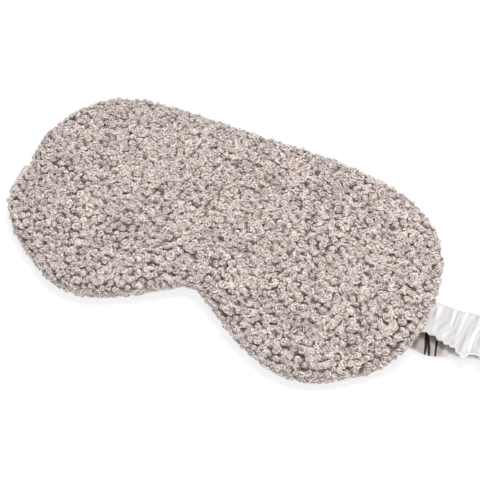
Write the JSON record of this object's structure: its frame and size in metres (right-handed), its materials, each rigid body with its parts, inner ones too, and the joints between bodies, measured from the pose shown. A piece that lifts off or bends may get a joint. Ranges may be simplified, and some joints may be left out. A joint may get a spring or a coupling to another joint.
{
  "type": "sleep eye mask",
  "caption": "Padded bean-shaped sleep mask with a looped boucle front, a smooth satin back and an elastic strap in a gathered satin sleeve, folded at one end.",
  "frame": {"origin": "under the middle of the mask's width, on the strap's centre line, at the plane the object rests on", "axes": "+X along the mask's width to the end where the strap is folded, +Y to the forehead edge, +Z out of the boucle front"},
  "size_m": [0.2644, 0.1104, 0.0185],
  "materials": {
    "boucle": "looped boucle fleece, greige",
    "padding": "soft polyester wadding",
    "lining": "matt black woven lining",
    "satin_back": "smooth satin",
    "satin_strap": "gathered satin, silvery white",
    "elastic": "braided elastic, white",
    "thread": "polyester sewing thread"
  },
  "bodies": {
    "mask": {"front_panel": "boucle", "padding_core": "padding", "blackout_lining": "lining", "back_panel": "satin_back", "seam_thread_brow_left": "thread", "seam_thread_brow_right": "thread", "seam_thread_nose": "thread", "closing_stitch": "thread", "strap_stitch_left": "thread", "strap_stitch_right": "thread", "sleeve_end_right": "satin_strap", "elastic_end_right": "elastic", "sleeve_under": "satin_strap", "elastic_under": "elastic", "tube_seam_under": "thread"},
    "strap_loop": {"sleeve_upper": "satin_strap", "elastic_upper": "elastic", "tube_seam_upper": "thread", "sleeve_lower": "satin_strap", "elastic_lower": "elastic", "tube_seam_lower": "thread"},
    "strap_fold": {"sleeve_fold": "satin_strap", "elastic_fold": "elastic", "tube_seam_fold": "thread"}
  },
  "joints": [
    {"name": "strap_lift", "type": "hinge", "parent": "mask", "child": "strap_loop", "pos_m": [0.105, 0, 0.0076], "axis": [0, -1, 0], "range_deg": [0, 90]},
    {"name": "strap_stretch", "type": "slide", "parent": "strap_loop", "child": "strap_fold", "axis": [1, 0, 0], "range_m": [0, 0.045], "stiffness_N_per_m": 40, "deforming": ["sleeve_upper", "elastic_upper", "tube_seam_upper", "sleeve_lower", "elastic_lower", "tube_seam_lower"]}
  ]
}
